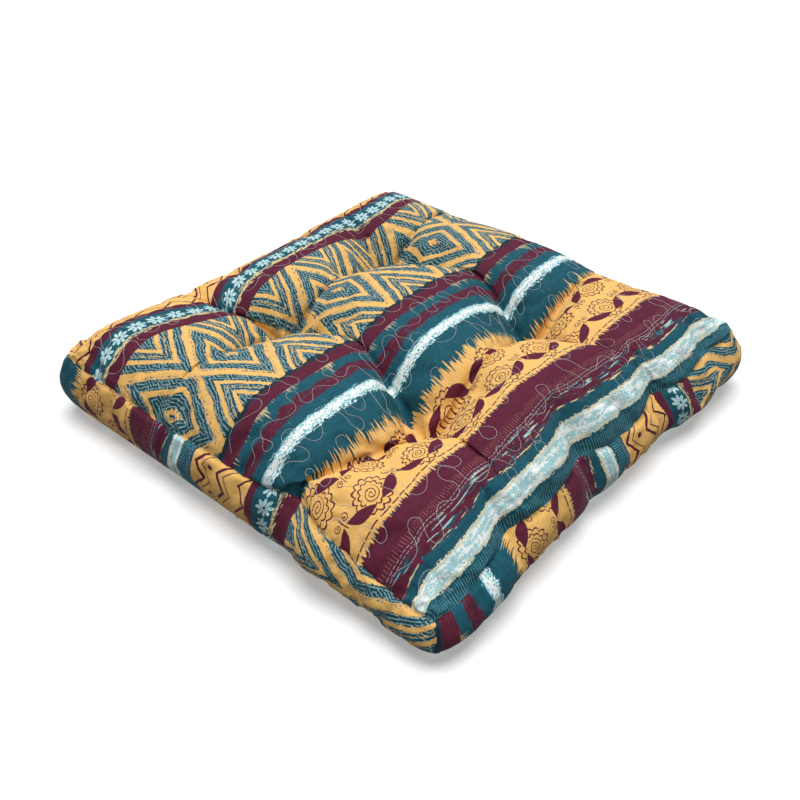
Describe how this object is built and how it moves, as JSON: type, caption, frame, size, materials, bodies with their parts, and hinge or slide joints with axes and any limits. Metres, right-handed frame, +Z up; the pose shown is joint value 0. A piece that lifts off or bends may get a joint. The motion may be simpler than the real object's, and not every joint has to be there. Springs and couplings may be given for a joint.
{
  "type": "chair pad",
  "caption": "Square tufted chair pad with a boxed border, printed in stripes, diamonds and flowers, that lies flat on a seat or floor.",
  "frame": {"origin": "on the floor under the middle of the pad's outline", "axes": "+X across the print's stripes, towards the right side, +Y along the stripes, towards the back side, +Z up"},
  "size_m": [0.5724, 0.571, 0.123],
  "materials": {
    "printed_cloth": "matte printed cotton"
  },
  "bodies": {
    "root": {"cushion": "printed_cloth"}
  },
  "joints": []
}
